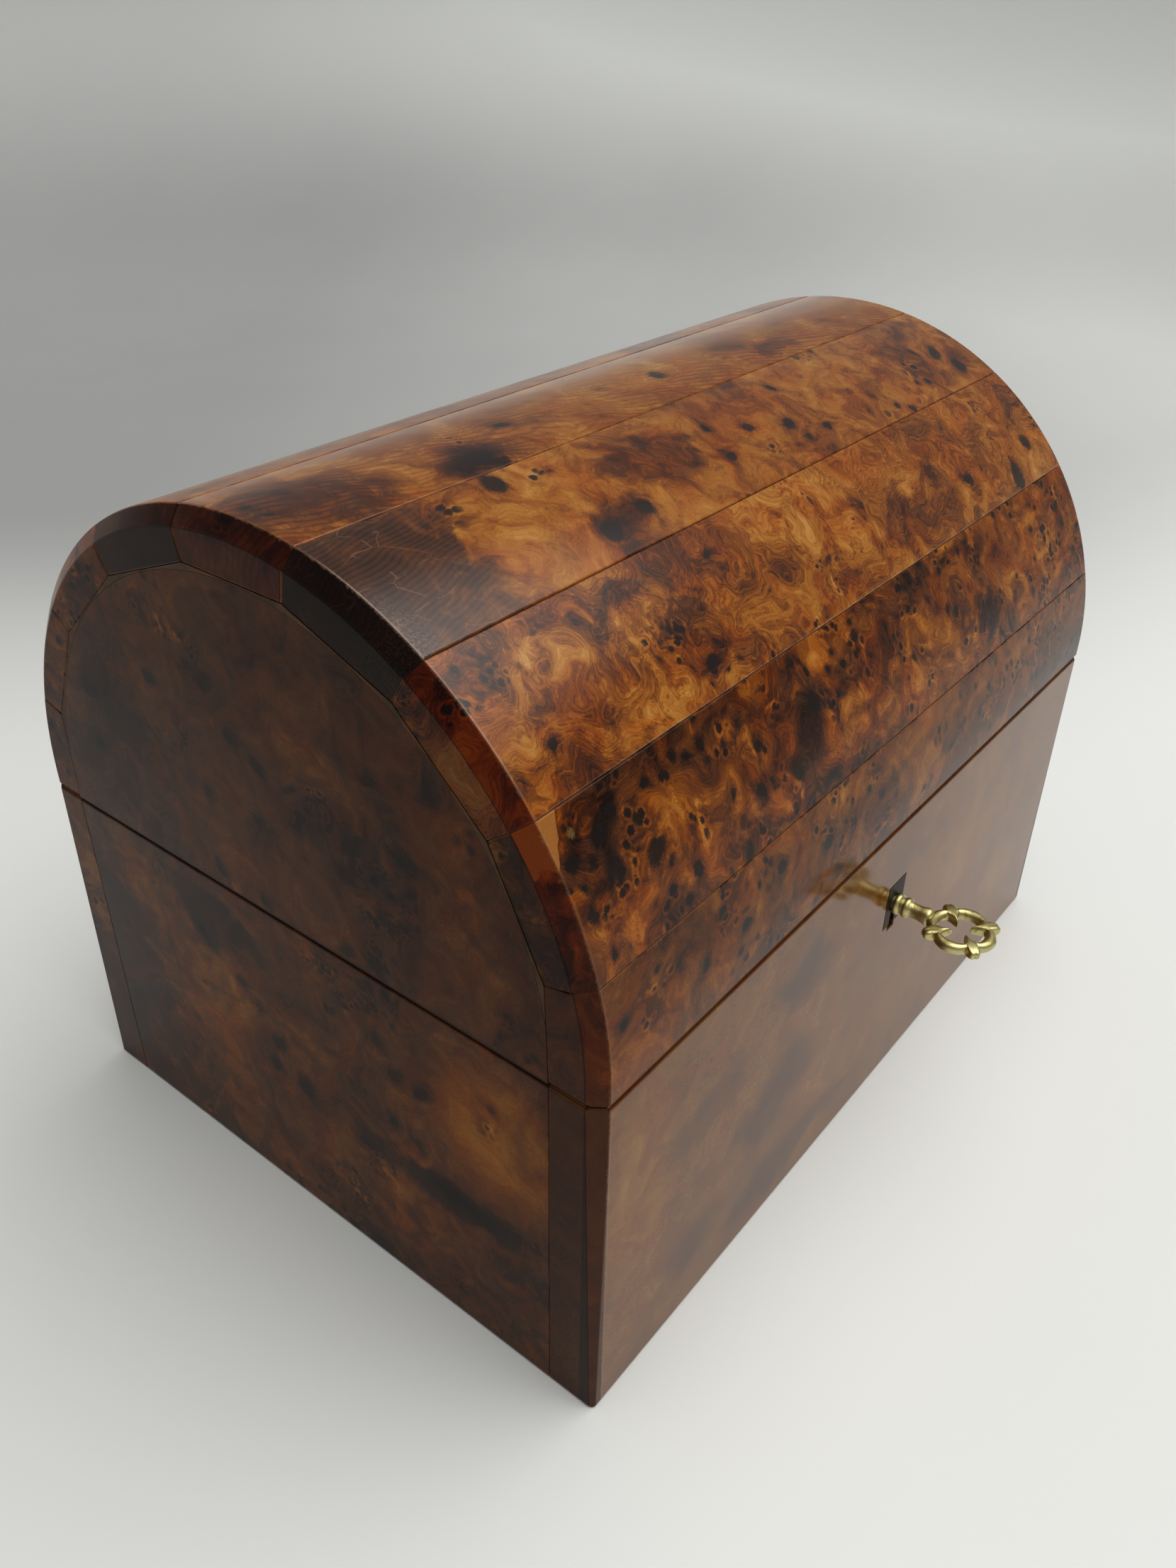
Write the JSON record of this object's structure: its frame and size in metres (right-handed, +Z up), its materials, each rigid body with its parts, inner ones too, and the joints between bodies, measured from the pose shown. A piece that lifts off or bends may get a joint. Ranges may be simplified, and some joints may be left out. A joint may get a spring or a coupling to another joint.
{
  "type": "wooden box",
  "caption": "Small treasure box of polished burl wood with a coopered barrel lid on butt hinges and a box lock whose brass key stands in the front.",
  "frame": {"origin": "centre of the box's underside, on the surface it stands on", "axes": "+X along the front to the right as one faces the key, +Y from the front to the hinged back, +Z up"},
  "size_m": [0.2, 0.1709, 0.156],
  "materials": {
    "burl_board": "clear varnish, hand polished to a gloss",
    "burl_rail": "clear varnish, hand polished to a gloss",
    "burl_base_end": "clear varnish, hand polished to a gloss",
    "burl_lid_end": "clear varnish, hand polished to a gloss",
    "burl_stave_1": "clear varnish, hand polished to a gloss",
    "burl_stave_2": "clear varnish, hand polished to a gloss",
    "burl_stave_3": "clear varnish, hand polished to a gloss",
    "burl_stave_4": "clear varnish, hand polished to a gloss",
    "burl_stave_5": "clear varnish, hand polished to a gloss",
    "burl_stave_6": "clear varnish, hand polished to a gloss",
    "burl_stave_7": "clear varnish, hand polished to a gloss",
    "plain_wood": "bare, planed",
    "wood_filler": "tan wood filler under the varnish",
    "ebony": "polished dark wood",
    "key_brass": "cast, polished by handling",
    "lock_brass": "brushed sheet",
    "hinge_brass": "brushed sheet",
    "screw_brass": "turned",
    "steel": "dull, oiled",
    "spring_steel": "blued"
  },
  "bodies": {
    "base": {"front_board": "burl_board", "back_board": "burl_board", "left_end_board": "burl_base_end", "right_end_board": "burl_base_end", "bottom_board": "plain_wood", "hinge_left_base_leaf": "hinge_brass", "hinge_left_pin": "steel", "hinge_left_base_screw_1": "screw_brass", "hinge_left_base_screw_2": "screw_brass", "hinge_left_base_screw_3": "screw_brass", "hinge_right_base_leaf": "hinge_brass", "hinge_right_pin": "steel", "hinge_right_base_screw_1": "screw_brass", "hinge_right_base_screw_2": "screw_brass", "hinge_right_base_screw_3": "screw_brass", "escutcheon": "ebony", "lock_plate": "lock_brass", "lock_case": "steel", "drill_pin": "steel", "bolt_stud": "steel", "lock_screw_1": "screw_brass", "lock_screw_2": "screw_brass", "lock_screw_3": "screw_brass", "lock_screw_4": "screw_brass"},
    "lid": {"lid_front_rail": "burl_rail", "lid_stave_1": "burl_stave_1", "lid_stave_2": "burl_stave_2", "lid_stave_3": "burl_stave_3", "lid_stave_4": "burl_stave_4", "lid_stave_5": "burl_stave_5", "lid_stave_6": "burl_stave_6", "lid_stave_7": "burl_stave_7", "lid_back_rail": "burl_rail", "lid_left_end": "burl_lid_end", "lid_right_end": "burl_lid_end", "lid_left_filler": "wood_filler", "lid_right_filler": "wood_filler", "hinge_left_lid_leaf": "hinge_brass", "hinge_left_lid_screw_1": "screw_brass", "hinge_left_lid_screw_2": "screw_brass", "hinge_left_lid_screw_3": "screw_brass", "hinge_right_lid_leaf": "hinge_brass", "hinge_right_lid_screw_1": "screw_brass", "hinge_right_lid_screw_2": "screw_brass", "hinge_right_lid_screw_3": "screw_brass", "strike_plate": "lock_brass", "strike_staple_left": "lock_brass", "strike_staple_right": "lock_brass", "strike_screw_1": "screw_brass", "strike_screw_2": "screw_brass"},
    "bolt": {"lock_bolt": "steel", "bolt_spring": "spring_steel"},
    "key": {"key": "key_brass"}
  },
  "joints": [
    {"name": "lid_hinge", "type": "hinge", "parent": "base", "child": "lid", "pos_m": [0, 0.07203, 0.07915], "axis": [-1, 0, 0], "range_deg": [0, 98]},
    {"name": "key_turn", "type": "hinge", "parent": "base", "child": "key", "pos_m": [0.004, -0.074, 0.057], "axis": [0, 1, 0], "range_deg": [-90, 180]},
    {"name": "bolt_slide", "type": "slide", "parent": "base", "child": "bolt", "axis": [1, 0, 0], "range_m": [-0.002, 0.004]}
  ],
  "couplings": [
    {"joint": "key_turn", "follows": "bolt_slide", "rad_per_m": 785.4}
  ]
}
